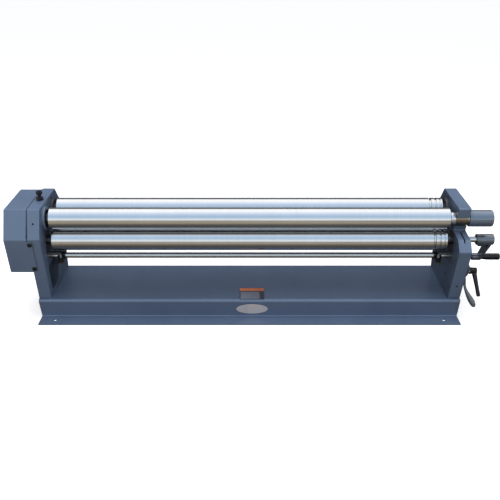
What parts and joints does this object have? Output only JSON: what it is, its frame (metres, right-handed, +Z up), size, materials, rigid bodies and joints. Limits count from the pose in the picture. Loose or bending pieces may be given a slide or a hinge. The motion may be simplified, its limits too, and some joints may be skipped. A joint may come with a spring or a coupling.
{
  "type": "slip roll machine",
  "caption": "Hand-cranked slip roll for sheet metal: geared pinch rolls, adjustable rear roll, slip-out top roll, lift lever and clamp on a bent-plate base",
  "frame": {"origin": "centre of the four foot-bolt holes, on the floor plane", "axes": "+X along the rolls towards the crank, +Y away from the operator, +Z up"},
  "size_m": [1.728, 0.3922, 0.453],
  "materials": {
    "frame_paint": "satin blue-grey machine enamel",
    "lever_paint": "satin grey enamel on a cast lever",
    "crank_paint": "blue-grey enamel, darker and rougher on the arm",
    "roll_steel": "turned and polished steel",
    "bright_steel": "machined steel",
    "black_steel": "black oxide",
    "bronze": "turned bearing bronze",
    "block_iron": "machined iron, oiled",
    "gear_steel": "cut steel, greased",
    "black_plastic": "moulded black plastic"
  },
  "bodies": {
    "frame": {"base_channel": "frame_paint", "frame_bolts": "black_steel", "left_end_frame": "frame_paint", "right_end_frame": "frame_paint", "gear_cover": "frame_paint", "cover_screws": "black_steel", "lock_screw": "black_steel", "lock_screw_nut": "black_steel", "left_shaft_bush": "bronze", "right_shaft_bush": "bronze"},
    "lower_carriage": {"left_lower_block": "block_iron", "right_lower_block": "block_iron", "left_lower_bush": "bronze", "right_lower_bush": "bronze"},
    "lower_roll": {"lower_roll": "roll_steel", "lower_gear": "gear_steel", "lower_gear_key": "bright_steel", "lower_gear_washer": "bright_steel", "lower_gear_bolt": "black_steel", "crank_arm": "crank_paint", "crank_set_screw": "black_steel", "grip_spindle": "bright_steel"},
    "crank_grip": {"crank_grip": "black_plastic"},
    "top_carrier": {"top_roll_left_bush": "bronze", "top_roll_right_bush": "bronze"},
    "top_roll": {"top_roll": "roll_steel", "top_gear": "gear_steel", "top_gear_key": "bright_steel", "top_gear_washer": "bright_steel", "top_gear_bolt": "black_steel", "top_roll_knob": "frame_paint"},
    "rear_carriage": {"left_rear_block": "block_iron", "right_rear_block": "block_iron", "left_rear_bush": "bronze", "right_rear_bush": "bronze"},
    "rear_roll": {"rear_roll": "roll_steel"},
    "left_rear_screw": {"left_rear_screw": "bright_steel", "left_rear_knob": "black_plastic"},
    "right_rear_screw": {"right_rear_screw": "bright_steel", "right_rear_knob": "black_plastic"},
    "lift_shaft": {"lift_shaft": "bright_steel", "left_lift_arm": "black_steel", "right_lift_arm": "black_steel", "left_lift_bolt": "bright_steel", "right_lift_bolt": "bright_steel", "left_lift_bolt_nut": "black_steel", "right_lift_bolt_nut": "black_steel", "left_lift_arm_pin": "bright_steel", "right_lift_arm_pin": "bright_steel", "lift_lever": "lever_paint", "lift_lever_pin": "bright_steel"},
    "clamp_stud": {"clamp_stud": "bright_steel", "clamp_washer": "bright_steel"},
    "clamp_lever": {"clamp_lever": "black_plastic"}
  },
  "joints": [
    {"name": "lower_lift", "type": "slide", "parent": "frame", "child": "lower_carriage", "axis": [0, 0, 1], "range_m": [0, 0.00583]},
    {"name": "lower_roll_spin", "type": "hinge", "parent": "lower_carriage", "child": "lower_roll", "pos_m": [0, -0.091, 0.28919], "axis": [1, 0, 0], "continuous": true},
    {"name": "grip_spin", "type": "hinge", "parent": "lower_roll", "child": "crank_grip", "pos_m": [0.873, -0.0045, 0.18369], "axis": [1, 0, 0], "continuous": true},
    {"name": "top_roll_slip_out", "type": "hinge", "parent": "frame", "child": "top_carrier", "pos_m": [-0.7215, -0.099, 0.371], "axis": [0, -0.3584, 0.9336], "range_deg": [-2.6, 0]},
    {"name": "top_roll_spin", "type": "hinge", "parent": "top_carrier", "child": "top_roll", "pos_m": [0, -0.099, 0.371], "axis": [1, 0, 0], "continuous": true},
    {"name": "rear_slide", "type": "slide", "parent": "frame", "child": "rear_carriage", "axis": [0, -0.7071, 0.7071], "range_m": [-0.062, 0.006]},
    {"name": "rear_roll_spin", "type": "hinge", "parent": "rear_carriage", "child": "rear_roll", "pos_m": [0, 0.013, 0.365], "axis": [1, 0, 0], "continuous": true},
    {"name": "left_rear_screw_turn", "type": "hinge", "parent": "rear_carriage", "child": "left_rear_screw", "pos_m": [-0.7215, 0.013, 0.365], "axis": [0, -0.7071, 0.7071], "continuous": true},
    {"name": "right_rear_screw_turn", "type": "hinge", "parent": "rear_carriage", "child": "right_rear_screw", "pos_m": [0.7215, 0.013, 0.365], "axis": [0, -0.7071, 0.7071], "continuous": true},
    {"name": "lift_shaft_turn", "type": "hinge", "parent": "frame", "child": "lift_shaft", "pos_m": [0, -0.091, 0.22919], "axis": [1, 0, 0], "range_deg": [-15.25, 0]},
    {"name": "clamp_stud_turn", "type": "hinge", "parent": "frame", "child": "clamp_stud", "pos_m": [0.77, -0.14516, 0.19509], "axis": [1, 0, 0], "range_deg": [-45, 60]},
    {"name": "clamp_lever_pull", "type": "slide", "parent": "clamp_stud", "child": "clamp_lever", "axis": [1, 0, 0], "range_m": [0, 0.005], "stiffness_N_per_m": 1200, "springref_m": -0.004}
  ],
  "couplings": [
    {"joint": "top_roll_spin", "follows": "lower_roll_spin", "ratio": -1},
    {"joint": "lift_shaft_turn", "follows": "lower_lift", "rad_per_m": -45.589}
  ]
}
